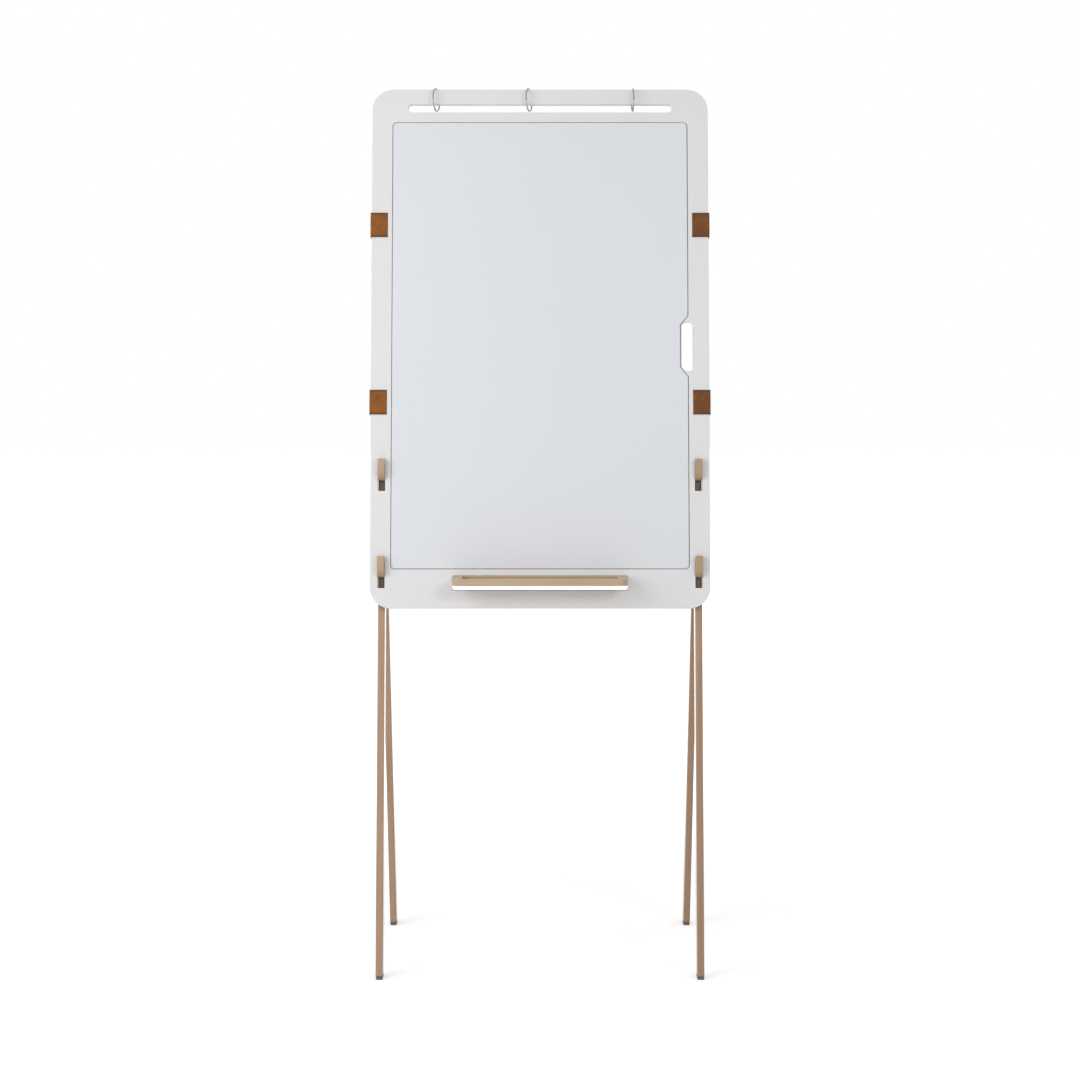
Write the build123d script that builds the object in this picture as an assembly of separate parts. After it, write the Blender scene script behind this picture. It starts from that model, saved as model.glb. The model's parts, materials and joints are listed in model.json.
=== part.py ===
from build123d import *
import os
from math import cos, degrees, atan2, radians, sin, sqrt, tan

os.makedirs("parts", exist_ok=True)

# Floor-standing whiteboard easel. Millimetres, +Z up, +X to the right of someone facing the
# board, the board faces -Y. Origin: on the floor, in the middle of the four feet.
# Most pieces are drawn in the axes of their own frame: x across, y back through the leg's
# depth from its front face, z up along the leg from the floor. FRONT and REAR then lean them.

# ---------------------------------------------------------------- driving dimensions
FRONT_LEAN = 8.0          # degrees, front legs lean back
REAR_LEAN = 17.6          # degrees, rear legs lean forward

LEG_W = 15.0              # across the easel
LEG_D = 42.0              # front to back
LEG_EDGE = 3.0            # rounding of the long edges
LEG_INSET = 23.3          # centre of a leg, in from the panel's side
LEG_BELOW_TOP = 137.0     # front legs end this far below the panel's top
HINGE_ABOVE_FOOT = 185.0  # hinge axis above the panel's lower edge

GLIDE_H = 8.0
GLIDE_INSET = 0.6         # glide is this much smaller than the leg all round

RAIL_D = 24.0             # front to back
RAIL_EDGE = 2.0
TOP_RAIL_DROP = 65.0      # lower edge of the top rail below the legs' tops
TOP_RAIL_H = 46.0
HINGE_RAIL_BELOW = 16.0   # rail below the hinge axis
HINGE_RAIL_ABOVE = 52.0   # rail above the hinge axis
REAR_HEAD_ABOVE = 70.0    # flat top of a rear leg above the hinge axis
TRAY_RAIL_H = 44.0
TRAY_RAIL_D = 32.0
REAR_RAIL_Z = 832.0       # along the rear leg
REAR_RAIL_H = 42.0

DOWEL_D = 8.0
DOWEL_L = 38.0
DOWEL_IN_LEG = 11.0
DOWEL_FIT = 0.05          # radial
DOWEL_EDGE = 0.8
DOWEL_STEP = 20.0         # between the two dowels of a rail's end
TRAY_DOWEL_BACK = 10.7    # dowels of the tray rail, in front of its rear face

PANEL_W = 700.0
PANEL_H = 1084.0
PANEL_T = 18.0
PANEL_CORNER = 44.0
PANEL_EDGE = 1.4          # rounding of the outer edge, front and back
PANEL_FOOT = 753.0        # panel's lower edge, up along the front leg
PANEL_GAP = 0.3           # between the panel's back and the legs

TOP_BAR_H = 30.6          # bar above the top slot
TOP_SLOT_SIDE = 74.5      # panel beside each end of the top slot
SLOT_EDGE = 0.8           # rounding of the slot and hand hole edges
HAND_HOLE_INSET = 43.8    # its middle, in from the panel's side
HAND_HOLE_Z = 543.0       # above the panel's lower edge
HAND_HOLE_W = 26.0
HAND_HOLE_H = 104.0
HAND_HOLE_RIM = 1.4       # land between the hand hole and the pocket

INLAY_SIDE = 44.0         # panel beside the inlay
INLAY_FOOT = 82.0         # panel below the inlay
INLAY_HEAD = 71.0         # panel above the inlay
INLAY_CORNER = 8.0
INLAY_SEAM = 1.6
INLAY_NOTCH_SLOPE = 50.0  # of the notch's ends, from level, in degrees
INLAY_NOTCH_EDGE = 5.0    # rounding of the notch's corners
SHEET_T = 0.8
BACKING_T = 3.2

HOOK_W = 14.6
HOOK_FEET = (42.0, 242.0) # lower ends of the hook slots, above the panel's lower edge
HOOK_FREE = 22.0          # open slot below the hook's arm
HOOK_ARM_H = 33.0
HOOK_LIP_H = 11.0         # lip above the arm, in front of the panel
HOOK_LIP_T = 14.0
HOOK_LIP_GAP = 1.0        # between the panel and the lip
HOOK_NOSE = 7.0           # rounding of the upper front corner
HOOK_CHIN = 20.0          # rounding of the lower front corner
HOOK_SEAT = 0.2           # between the arm and the upper end of its slot
HOOK_SIDE = 0.4           # each side of the hook in its slot
HOOK_SLOT_CORNER = 1.0
HOOK_EDGE = 1.2
HOOK_LIP_EDGE = 4.0       # rounding that leads the panel in behind the lip
HOOK_DOWEL_L = 28.0       # half in the hook, half in the leg
HOOK_DOWEL_STEP = 16.5    # between the two dowels of a hook

TRAY_W = 357.0
TRAY_T = 14.4
TRAY_REACH = 78.0         # in front of the panel
TRAY_ABOVE_FOOT = 70.0    # tray's top above the panel's lower edge, at the legs' front
TRAY_CORNER = 16.0
TRAY_EDGE = 1.5
TRAY_REAR_SETBACK = 2.0   # short of the legs' back faces
TRAY_SLOT_UNDER = 15.6    # slot left open under the tray, for lifting the panel
TRAY_SLOT_OVER = 0.4
TRAY_SLOT_SIDE = 1.5
TRAY_SLOT_CORNER = 3.0
RECESS_DEPTH = 8.0
RECESS_FRONT = 9.0        # rim in front
RECESS_SIDE = 20.0        # rim at each end
RECESS_BACK = 9.0         # rim before the panel
RECESS_CORNER = 12.0
RECESS_BED = 4.0          # rounding round the recess's floor
TRAY_SCREWS_X = (-150.0, -50.0, 50.0, 150.0)

STRAP_H = 51.0
STRAP_T = 2.2
STRAP_LOWER = 426.0       # middle of the lower straps above the panel's lower edge
STRAP_UPPER = 287.0       # middle of the upper straps below the panel's top
STRAP_GAP = 0.35          # between the leather and the wood it goes round
STRAP_BEND = 0.8          # inside radius of each fold
STRAP_TAIL = 32.0
STUD_CAP_D = 12.5
STUD_CAP_T = 2.2
STUD_CAP_DOME = 1.5
STUD_POST_D = 4.0
STUD_SOCKET_D = 10.5
STUD_SOCKET_T = 1.6
STUD_FIT = 0.05

HINGE_INSET = 115.2       # middle of a hinge, in from a leg's inner face
HINGE_L = 62.0
HINGE_LEAF_H = 25.0
HINGE_LEAF_T = 1.5
HINGE_BARREL_D = 6.5
HINGE_PIN_D = 3.0
HINGE_PIN_FIT = 0.06      # radial, pin in knuckle
HINGE_PIN_EDGE = 0.3
HINGE_KNUCKLES = 5
HINGE_KNUCKLE_GAP = 0.3
HINGE_GAP = 0.2           # between the bevelled heads and the front frame
HINGE_MORTISE = 0.2       # clearance round a leaf
HINGE_GROOVE = 0.4        # clearance round the barrel

SCREW_D = 3.0
SCREW_HEAD_D = 6.0
HINGE_SCREW_L = 18.0
HINGE_SCREWS_X = (-22.0, 0.0, 22.0)
HINGE_SCREW_STAGGER = 6.2 # the middle screw sits this much lower than the outer two
TRAY_SCREW_D = 4.0
TRAY_SCREW_HEAD_D = 8.0
TRAY_SCREW_L = 42.0
GLIDE_SCREW_L = 26.0
GLIDE_SCREW_SUNK = 2.0    # head above the floor
SCREW_FIT = 0.05

RING_D = 50.0             # outside
RING_WIRE = 3.0
RINGS = ((-217.0, -14.0), (-23.0, -15.0), (194.0, 3.0))  # place along the bar, twist in degrees
RING_SEAT = 0.3
RING_BELOW = 1.9          # slot left open below a hanging ring
RING_EYE_D = 6.4
RING_EYE_T = 1.3
RING_EYE_GAP = 0.1
RING_EYE_CLEAR = 0.4
RING_RIVET_D = 2.0
RING_RIVET_HEAD_D = 3.8
RING_RIVET_HEAD_T = 0.7
RING_RIVET_FIT = 0.05
RING_COLLAR_D = 4.4
RING_COLLAR_L = 5.0
RING_COLLAR_EDGE = 0.4
RING_TONGUE_D = 1.5
RING_TONGUE_L = 2.4
RING_TONGUE_FIT = 0.15
RING_JOIN = 0.1           # between the two halves at the clasp

# ---------------------------------------------------------------- derived places
FAR = 3000.0
lean, rear_lean = radians(FRONT_LEAN), radians(REAR_LEAN)

PANEL_BACK = -PANEL_GAP
PANEL_FRONT = PANEL_BACK - PANEL_T
PANEL_TOP = PANEL_FOOT + PANEL_H

LEG_CENTRE = PANEL_W / 2 - LEG_INSET
LEG_INNER = LEG_CENTRE - LEG_W / 2
HINGE_X = LEG_INNER - HINGE_INSET
FRONT_LEG_L = PANEL_TOP - LEG_BELOW_TOP
TOP_RAIL_Z = FRONT_LEG_L - TOP_RAIL_DROP
HINGE_Z = PANEL_FOOT + HINGE_ABOVE_FOOT
TRAY_TOP = (PANEL_FOOT + TRAY_ABOVE_FOOT) * cos(lean)

# places on the panel, up from its lower edge
TOP_SLOT_W = PANEL_W - 2 * TOP_SLOT_SIDE
TOP_SLOT_H = RING_D - RING_WIRE - RING_SEAT + RING_BELOW - TOP_BAR_H
HAND_HOLE_X = PANEL_W / 2 - HAND_HOLE_INSET
INLAY_W = PANEL_W - 2 * INLAY_SIDE
INLAY_H = PANEL_H - INLAY_FOOT - INLAY_HEAD
STRAP_MIDDLES = (STRAP_LOWER, PANEL_H - STRAP_UPPER)

HINGE_Y = LEG_D + HINGE_GAP / 2
hinge_y = HINGE_Y * cos(lean) + HINGE_Z * sin(lean)      # standing easel, from the front feet
hinge_z = HINGE_Z * cos(lean) - HINGE_Y * sin(lean)
HINGE_ON_REAR = (hinge_z + HINGE_GAP / 2 * sin(rear_lean)) / cos(rear_lean)
rear_foot = hinge_y + HINGE_GAP / 2 * cos(rear_lean) + HINGE_ON_REAR * sin(rear_lean)
foot_depth = rear_foot + LEG_D / cos(rear_lean)

FRONT = Pos(0, -foot_depth / 2, 0) * Rot(-FRONT_LEAN, 0, 0)
REAR = Pos(0, rear_foot - foot_depth / 2, 0) * Rot(REAR_LEAN, 0, 0)

# 2D plane of the panel: x across, y up along the panel from its lower edge, facing forward
PANEL_PLANE = Plane(origin=(0, PANEL_BACK, PANEL_FOOT), x_dir=(1, 0, 0), z_dir=(0, -1, 0))

RING_R = (RING_D - RING_WIRE) / 2
RING_INNER = RING_R - RING_WIRE / 2 - RING_SEAT


def both(shape):
    """The piece and its mirror image on the other side of the easel."""
    return [shape, mirror(shape, about=Plane.YZ)]


def group(shapes):
    """Separate solids that share one node."""
    return Compound(children=[solid for shape in shapes for solid in shape.solids()])


def slab(low, high):
    """Everything between two heights above the floor."""
    return Pos(0, 0, (low + high) / 2) * Box(FAR, FAR, high - low)


def rounded_bar(size_x, size_y, size_z, radius):
    """Box from the origin's height up, with its long x edges rounded."""
    section = Plane.YZ * Pos(0, size_z / 2) * RectangleRounded(size_y, size_z, radius)
    return extrude(section, size_x / 2, both=True)


def cylinder_x(diameter, length):
    return Rot(0, 90, 0) * Cylinder(diameter / 2, length)


def cylinder_y(diameter, length):
    return Rot(90, 0, 0) * Cylinder(diameter / 2, length)


def screw(length, diameter, head_diameter, grow=0.0):
    """Countersunk screw pointing down, its head's flat top at the origin. grow makes its hole."""
    shank, head = diameter / 2 + grow, head_diameter / 2 + grow
    cone = head - shank
    profile = Plane.XZ * make_face(Polyline((0, 0), (head, 0), (shank, -cone),
                                            (shank, -length + shank), (0, -length - grow), close=True))
    return revolve(profile, Axis.Z)


# ---------------------------------------------------------------- legs, glides and rails
def leg_blank(length):
    section = Pos(LEG_CENTRE, LEG_D / 2) * RectangleRounded(LEG_W, LEG_D, LEG_EDGE)
    bar = Pos(0, 0, -LEG_D) * extrude(section, length + LEG_D)
    return fillet(bar.faces().sort_by(Axis.Z)[-1].edges(), LEG_EDGE / 2)


def glide_blank():
    section = Pos(LEG_CENTRE, LEG_D / 2) * RectangleRounded(
        LEG_W - 2 * GLIDE_INSET, LEG_D - 2 * GLIDE_INSET, LEG_EDGE - GLIDE_INSET)
    return Pos(0, 0, -LEG_D) * extrude(section, 2 * LEG_D + GLIDE_H)


def glide_screw(frame, grow=0.0):
    """Screw up through the middle of a glide into the end of its leg."""
    middle = (frame * Pos(LEG_CENTRE, LEG_D / 2, 0)).position
    return Pos(middle.X, middle.Y, GLIDE_SCREW_SUNK) * Rot(180, 0, 0) * screw(
        GLIDE_SCREW_L, SCREW_D, SCREW_HEAD_D, grow)


def glide_and_screw(frame):
    pad = (frame * glide_blank()) & slab(0, GLIDE_H)
    pad = chamfer(pad.faces().sort_by(Axis.Z)[0].edges(), GLIDE_INSET)
    sink = glide_screw(frame, SCREW_FIT)
    middle = (frame * Pos(LEG_CENTRE, LEG_D / 2, 0)).position
    mouth = Pos(middle.X, middle.Y, 0) * Cylinder(
        SCREW_HEAD_D / 2 + SCREW_FIT, GLIDE_SCREW_SUNK, align=(Align.CENTER, Align.CENTER, Align.MIN))
    return pad - sink - mouth, glide_screw(frame)


def dowel(grow=0.0):
    """Dowel across the joint between the right leg and a rail's end, at x = the leg's inner face."""
    pin = cylinder_x(DOWEL_D + 2 * grow, DOWEL_L + 2 * grow)
    if not grow:
        pin = chamfer(pin.edges(), DOWEL_EDGE)
    return Pos(LEG_INNER + DOWEL_IN_LEG - DOWEL_L / 2, 0, 0) * pin


def dowels(places, grow=0.0):
    """Dowels of one side at (y, z) places."""
    return [Pos(0, y, z) * dowel(grow) for y, z in places]


def rail(back, low, high, depth):
    """Cross rail between the legs, in its frame's axes; back is its rear face."""
    return Pos(0, back - depth / 2, low) * rounded_bar(2 * LEG_INNER, depth, high - low, RAIL_EDGE)


TRAY_RAIL_LOW = (TRAY_TOP + LEG_D * sin(lean)) / cos(lean)
TRAY_RAIL_BACK = (LEG_D + TRAY_RAIL_D) / 2
TRAY_RAIL_TOP = TRAY_RAIL_LOW + TRAY_RAIL_H
HINGE_RAIL_LOW = HINGE_Z - HINGE_RAIL_BELOW
HINGE_RAIL_TOP = HINGE_Z + HINGE_RAIL_ABOVE
HEAD_RAIL_LOW = HINGE_ON_REAR - HINGE_RAIL_BELOW
HEAD_RAIL_TOP = HINGE_ON_REAR + HINGE_RAIL_ABOVE


def dowel_pair(y, middle):
    return [(y, middle - DOWEL_STEP / 2), (y, middle + DOWEL_STEP / 2)]


FRONT_DOWELS = (dowel_pair(LEG_D / 2, TOP_RAIL_Z + TOP_RAIL_H / 2)
                + dowel_pair(LEG_D - RAIL_D / 2, (HINGE_RAIL_LOW + HINGE_RAIL_TOP) / 2)
                + dowel_pair(TRAY_RAIL_BACK - TRAY_DOWEL_BACK, TRAY_RAIL_LOW + TRAY_RAIL_H / 2))
REAR_DOWELS = (dowel_pair(RAIL_D / 2, HEAD_RAIL_LOW + DOWEL_STEP)
               + dowel_pair(RAIL_D / 2, REAR_RAIL_Z + REAR_RAIL_H / 2))


def front_leg():
    leg = FRONT * leg_blank(FRONT_LEG_L) - slab(-FAR, GLIDE_H) - glide_screw(FRONT, SCREW_FIT)
    leg -= [FRONT * hole for hole in dowels(FRONT_DOWELS, DOWEL_FIT)]
    leg -= [FRONT * hole for hole in hook_dowels(DOWEL_FIT)]
    return leg


def ahead_of_heads():
    """Space in front of the bevelled heads: the front frame's back plane and the running gap."""
    return FRONT * (Pos(0, LEG_D + HINGE_GAP - FAR / 2, 0) * Box(FAR, FAR, 2 * FAR))


def rear_leg():
    leg = REAR * leg_blank(HINGE_ON_REAR + REAR_HEAD_ABOVE) - ahead_of_heads()
    leg = leg - slab(-FAR, GLIDE_H) - glide_screw(REAR, SCREW_FIT)
    return leg - [REAR * hole for hole in dowels(REAR_DOWELS, DOWEL_FIT)]


def rail_holes(places):
    holes = []
    for hole in dowels(places, DOWEL_FIT):
        holes += both(hole)
    return holes


def front_top_rail():
    bar = rail((LEG_D + RAIL_D) / 2, TOP_RAIL_Z, TOP_RAIL_Z + TOP_RAIL_H, RAIL_D)
    return FRONT * (bar - rail_holes(FRONT_DOWELS[:2]))


def front_hinge_rail():
    bar = rail(LEG_D, HINGE_RAIL_LOW, HINGE_RAIL_TOP, RAIL_D) - rail_holes(FRONT_DOWELS[2:4])
    bar = FRONT * bar
    for side in (-HINGE_X, HINGE_X):
        bar -= FRONT * Pos(side, 0, 0) * front_leaf_mortise()
        bar -= [FRONT * Pos(side, 0, 0) * hole for hole in front_leaf_screws(SCREW_FIT)]
    return bar


def tray_rail():
    bar = rail(TRAY_RAIL_BACK, TRAY_RAIL_LOW - LEG_D, TRAY_RAIL_TOP, TRAY_RAIL_D)
    bar = FRONT * (bar - rail_holes(FRONT_DOWELS[4:])) - slab(-FAR, TRAY_TOP)
    return bar - tray_screws(SCREW_FIT)


def rear_head_rail():
    bar = rail(RAIL_D, HEAD_RAIL_LOW, HEAD_RAIL_TOP, RAIL_D) - rail_holes(REAR_DOWELS[:2])
    bar = REAR * bar - ahead_of_heads()
    for side in (-HINGE_X, HINGE_X):
        bar -= FRONT * Pos(side, 0, 0) * rear_leaf_mortise()
        bar -= [FRONT * Pos(side, 0, 0) * hole for hole in rear_leaf_screws(SCREW_FIT)]
    return bar


def rear_lower_rail():
    bar = rail(RAIL_D, REAR_RAIL_Z, REAR_RAIL_Z + REAR_RAIL_H, RAIL_D)
    return REAR * (bar - rail_holes(REAR_DOWELS[2:]))


# ---------------------------------------------------------------- butt hinges
def knuckle(index, grow=0.0):
    """One knuckle of the barrel; grow gives the space it turns in."""
    pitch = HINGE_L / HINGE_KNUCKLES
    middle = (index + 0.5) * pitch - HINGE_L / 2
    length = pitch - HINGE_KNUCKLE_GAP + 2 * grow
    return Pos(middle, HINGE_Y, HINGE_Z) * cylinder_x(HINGE_BARREL_D + 2 * grow, length)


def hinge_leaf(back, screws, own):
    """Leaf above the barrel, its rear face at back, with every second knuckle from own."""
    plate = Pos(0, back - HINGE_LEAF_T / 2, HINGE_Z) * Box(
        HINGE_L, HINGE_LEAF_T, HINGE_LEAF_H, align=(Align.CENTER, Align.CENTER, Align.MIN))
    leaf = plate - [knuckle(i, HINGE_KNUCKLE_GAP) for i in range(HINGE_KNUCKLES) if i % 2 != own]
    leaf += [knuckle(i) for i in range(HINGE_KNUCKLES) if i % 2 == own]
    bore = Pos(0, HINGE_Y, HINGE_Z) * cylinder_x(HINGE_PIN_D + 2 * HINGE_PIN_FIT, 2 * HINGE_L)
    return leaf - bore - screws


def barrel_groove():
    return Pos(0, HINGE_Y, HINGE_Z) * cylinder_x(
        HINGE_BARREL_D + 2 * HINGE_GROOVE, HINGE_L + 2 * HINGE_MORTISE)


def leaf_mortise(back):
    pocket = Pos(0, back - HINGE_LEAF_T / 2, HINGE_Z) * Box(
        HINGE_L + 2 * HINGE_MORTISE, HINGE_LEAF_T, HINGE_LEAF_H + HINGE_MORTISE,
        align=(Align.CENTER, Align.CENTER, Align.MIN))
    return pocket + barrel_groove()


FRONT_LEAF_BACK = LEG_D
REAR_LEAF_BACK = LEG_D + HINGE_GAP + HINGE_LEAF_T


def front_leaf_mortise():
    return leaf_mortise(FRONT_LEAF_BACK)


def rear_leaf_mortise():
    return leaf_mortise(REAR_LEAF_BACK)


def leaf_screws(face, turn, grow):
    """Screws of one leaf, heads flush with its face, in two rows."""
    middle = HINGE_Z + (HINGE_BARREL_D / 2 + HINGE_LEAF_H) / 2
    step = HINGE_SCREW_STAGGER / 2
    return [Pos(x, face, middle + (step if x else -step)) * Rot(turn, 0, 0)
            * screw(HINGE_SCREW_L, SCREW_D, SCREW_HEAD_D, grow) for x in HINGE_SCREWS_X]


def front_leaf_screws(grow=0.0):
    return leaf_screws(LEG_D, -90, grow)


def rear_leaf_screws(grow=0.0):
    return leaf_screws(LEG_D + HINGE_GAP, 90, grow)


def hinge_pin():
    pin = cylinder_x(HINGE_PIN_D, HINGE_L)
    return Pos(0, HINGE_Y, HINGE_Z) * chamfer(pin.edges(), HINGE_PIN_EDGE)


# ---------------------------------------------------------------- hooks
def hook_profile():
    """Side view of a hook: arm out through the panel and a lip up in front of it."""
    lip = PANEL_FRONT - HOOK_LIP_GAP
    tip = lip - HOOK_LIP_T
    low, arm, top = HOOK_FREE, HOOK_FREE + HOOK_ARM_H, HOOK_FREE + HOOK_ARM_H + HOOK_LIP_H
    outline = make_face(Polyline((0, low), (tip, low), (tip, top), (lip, top), (lip, arm), (0, arm),
                                 close=True))
    for x, y, radius in ((tip, low, HOOK_CHIN), (tip, top, HOOK_NOSE), (lip, top, HOOK_LIP_EDGE)):
        corner = outline.vertices().sort_by_distance((x, y, 0))[0]
        outline = fillet(corner, radius)
    return outline


def hook_dowels(grow=0.0):
    """The two dowels that hold each right-hand hook to its leg."""
    pins = []
    for foot in HOOK_FEET:
        middle = PANEL_FOOT + foot + HOOK_FREE + HOOK_ARM_H / 2
        for side in (-1, 1):
            pin = cylinder_y(DOWEL_D + 2 * grow, HOOK_DOWEL_L + 2 * grow)
            if not grow:
                pin = chamfer(pin.edges(), DOWEL_EDGE)
            pins.append(Pos(LEG_CENTRE, 0, middle + side * HOOK_DOWEL_STEP / 2) * pin)
    return pins


def hook(foot):
    shape = extrude(Plane.YZ * hook_profile(), HOOK_W / 2, both=True)
    long_edges = [e for e in shape.edges() if abs(abs(e.center().X) - HOOK_W / 2) < 0.01
                  and e.center().Y < -HOOK_EDGE]
    shape = fillet(long_edges, HOOK_EDGE)
    shape = Pos(LEG_CENTRE, 0, PANEL_FOOT + foot) * shape
    return FRONT * (shape - hook_dowels(DOWEL_FIT))


# ---------------------------------------------------------------- pen tray
def on_leg(y, height):
    """Standing y of the point at depth y in the front frame and this height above the floor."""
    along = (height + y * sin(lean)) / cos(lean)
    return y * cos(lean) + along * sin(lean) - foot_depth / 2


TRAY_PANEL_Y = on_leg(PANEL_FRONT, TRAY_TOP)
TRAY_FRONT_Y = TRAY_PANEL_Y - TRAY_REACH
TRAY_REAR_Y = on_leg(LEG_D - TRAY_REAR_SETBACK, TRAY_TOP - TRAY_T)
TRAY_SCREW_Y = on_leg(LEG_D / 2, TRAY_TOP)


def tray_screws(grow=0.0):
    return [Pos(x, TRAY_SCREW_Y, TRAY_TOP - TRAY_T) * Rot(180, 0, 0)
            * screw(TRAY_SCREW_L, TRAY_SCREW_D, TRAY_SCREW_HEAD_D, grow) for x in TRAY_SCREWS_X]


def pen_tray():
    """Level shelf with a routed recess for pens; its back half runs under the tray rail."""
    depth = TRAY_REAR_Y - TRAY_FRONT_Y
    outline = Pos(0, (TRAY_REAR_Y + TRAY_FRONT_Y) / 2) * Rectangle(TRAY_W, depth)
    outline = fillet(outline.vertices().sort_by(Axis.Y)[:2], TRAY_CORNER)
    shelf = Pos(0, 0, TRAY_TOP - TRAY_T) * extrude(outline, TRAY_T)
    low, high = TRAY_FRONT_Y + RECESS_FRONT, TRAY_PANEL_Y - RECESS_BACK
    pocket = Pos(0, (low + high) / 2, TRAY_TOP - RECESS_DEPTH) * extrude(
        RectangleRounded(TRAY_W - 2 * RECESS_SIDE, high - low, RECESS_CORNER), RECESS_DEPTH)
    pocket = fillet(pocket.faces().sort_by(Axis.Z)[0].edges(), RECESS_BED)
    shelf -= pocket
    rims = [e for e in shelf.edges() if e.center().Y < TRAY_REAR_Y - TRAY_EDGE
            and (abs(e.center().Z - TRAY_TOP) < 0.01 or abs(e.center().Z - TRAY_TOP + TRAY_T) < 0.01)]
    return fillet(rims, TRAY_EDGE) - tray_screws(SCREW_FIT)


# ---------------------------------------------------------------- panel and whiteboard inlay
def hand_hole():
    return Pos(HAND_HOLE_X, HAND_HOLE_Z) * SlotOverall(HAND_HOLE_H, HAND_HOLE_W, rotation=90)


def inlay_notch(reach):
    """Recess for the hand hole; its three sides pass the hole's round ends at this distance from
    their centres."""
    slope = radians(INLAY_NOTCH_SLOPE)
    half = (HAND_HOLE_H - HAND_HOLE_W) / 2 + reach * (1 - sin(slope)) / cos(slope)
    mouth = 2 * HAND_HOLE_W
    top = half + mouth * tan(slope)
    return Pos(HAND_HOLE_X, HAND_HOLE_Z) * make_face(Polyline(
        (-reach, -half), (-reach, half), (mouth - reach, top), (mouth - reach, -top), close=True))


def inlay_outline(grow=0.0):
    """Rounded rectangle with a notch beside the hand hole; grow adds to every side."""
    outline = Pos(0, INLAY_FOOT + INLAY_H / 2) * RectangleRounded(
        INLAY_W + 2 * grow, INLAY_H + 2 * grow, INLAY_CORNER + grow)
    outline -= inlay_notch(HAND_HOLE_W / 2 + HAND_HOLE_RIM + INLAY_SEAM - grow)
    corners = [v for v in outline.vertices() if v.X > 0 and abs(v.Y - HAND_HOLE_Z) < HAND_HOLE_H]
    return fillet(corners, INLAY_NOTCH_EDGE)


def slot_cuts():
    """Openings for the hooks and the straps."""
    cuts = []
    for foot in HOOK_FEET:
        height = HOOK_FREE + HOOK_ARM_H + HOOK_SEAT
        for side in (-1, 1):
            cuts.append(Pos(side * LEG_CENTRE, foot + height / 2) * RectangleRounded(
                HOOK_W + 2 * HOOK_SIDE, height, HOOK_SLOT_CORNER))
    slit = STRAP_T + 2 * STRAP_GAP
    for middle in STRAP_MIDDLES:
        for side in (-1, 1):
            cuts.append(Pos(side * (LEG_INNER - STRAP_GAP - STRAP_T / 2), middle)
                        * Rectangle(slit, STRAP_H + 2 * STRAP_GAP))
    return cuts


def tray_slot():
    """Level opening that the tray passes through, with room below it for lifting the panel."""
    low = TRAY_TOP - TRAY_T - TRAY_SLOT_UNDER
    high = TRAY_TOP + TRAY_SLOT_OVER
    mouth = Pos(0, (low + high) / 2) * RectangleRounded(
        TRAY_W + 2 * TRAY_SLOT_SIDE, high - low, TRAY_SLOT_CORNER)
    return extrude(Plane.XZ * mouth, FAR, both=True)


def broad_faces(board):
    """Front and back face of the panel, before it leans."""
    faces = board.faces().sort_by(Axis.Y)
    return [faces[0], faces[-1]]


def panel_board():
    outline = Pos(0, PANEL_H / 2) * RectangleRounded(PANEL_W, PANEL_H, PANEL_CORNER)
    top_slot = Pos(0, PANEL_H - TOP_BAR_H - TOP_SLOT_H / 2) * SlotOverall(TOP_SLOT_W, TOP_SLOT_H)
    board = extrude(PANEL_PLANE * (outline - top_slot - hand_hole()), PANEL_T)
    mouths = [e for face in broad_faces(board) for wire in face.inner_wires() for e in wire.edges()]
    board = fillet(mouths, SLOT_EDGE)
    rims = [e for face in broad_faces(board) for e in face.outer_wire().edges()]
    board = fillet(rims, PANEL_EDGE)
    for cut in slot_cuts():
        board -= extrude(PANEL_PLANE * cut, PANEL_T)
    pocket_plane = PANEL_PLANE.offset(PANEL_T - SHEET_T - BACKING_T)
    board -= extrude(pocket_plane * inlay_outline(INLAY_SEAM), SHEET_T + BACKING_T)
    return FRONT * board - tray_slot()


def whiteboard_sheet():
    plane = PANEL_PLANE.offset(PANEL_T - SHEET_T)
    return FRONT * extrude(plane * inlay_outline(), SHEET_T)


def whiteboard_backing():
    plane = PANEL_PLANE.offset(PANEL_T - SHEET_T - BACKING_T)
    return FRONT * extrude(plane * inlay_outline(), BACKING_T)


# ---------------------------------------------------------------- leather straps
def strap_contour():
    """Inside line of a right-hand strap, seen from above: round the panel's edge and the leg."""
    inner = LEG_INNER - STRAP_GAP
    edge = PANEL_W / 2 + STRAP_GAP
    front = PANEL_FRONT - STRAP_GAP
    back = LEG_D + STRAP_GAP
    outer = LEG_INNER + LEG_W + STRAP_GAP
    return [(inner, front), (edge, front), (edge, PANEL_BACK + STRAP_GAP), (outer, back), (inner, back)]


def tail_frame():
    """Middle of the strap's sloping run behind the panel's edge, and its heading in degrees."""
    (x0, y0), (x1, y1) = strap_contour()[2:4]
    return (x0 + x1) / 2, (y0 + y1) / 2, degrees(atan2(y1 - y0, x1 - x0))


def strap(middle):
    hollow = make_face(Polyline(*strap_contour(), close=True))
    hollow = fillet(hollow.vertices(), STRAP_BEND)
    band = offset(hollow, STRAP_T) - hollow
    x, y, heading = tail_frame()
    tail = Pos(x, y) * Rot(0, 0, heading) * Pos(0, -1.5 * STRAP_T) * RectangleRounded(
        STRAP_TAIL, STRAP_T, STRAP_T / 3)
    shape = extrude(band + tail, STRAP_H / 2, both=True)
    shape = Pos(0, 0, PANEL_FOOT + middle) * shape
    return FRONT * (shape - Pos(0, 0, PANEL_FOOT + middle) * stud_post(STUD_FIT))


def stud_axis():
    """Out through the leather at the middle of the sloping run; local z points outwards."""
    x, y, heading = tail_frame()
    return Pos(x, y, 0) * Rot(0, 0, heading) * Rot(90, 0, 0)


def stud_post(grow=0.0):
    height = 2 * STRAP_T + 2 * grow
    return stud_axis() * Pos(0, 0, -grow) * Cylinder(
        STUD_POST_D / 2 + grow, height, align=(Align.CENTER, Align.CENTER, Align.MIN))


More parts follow.
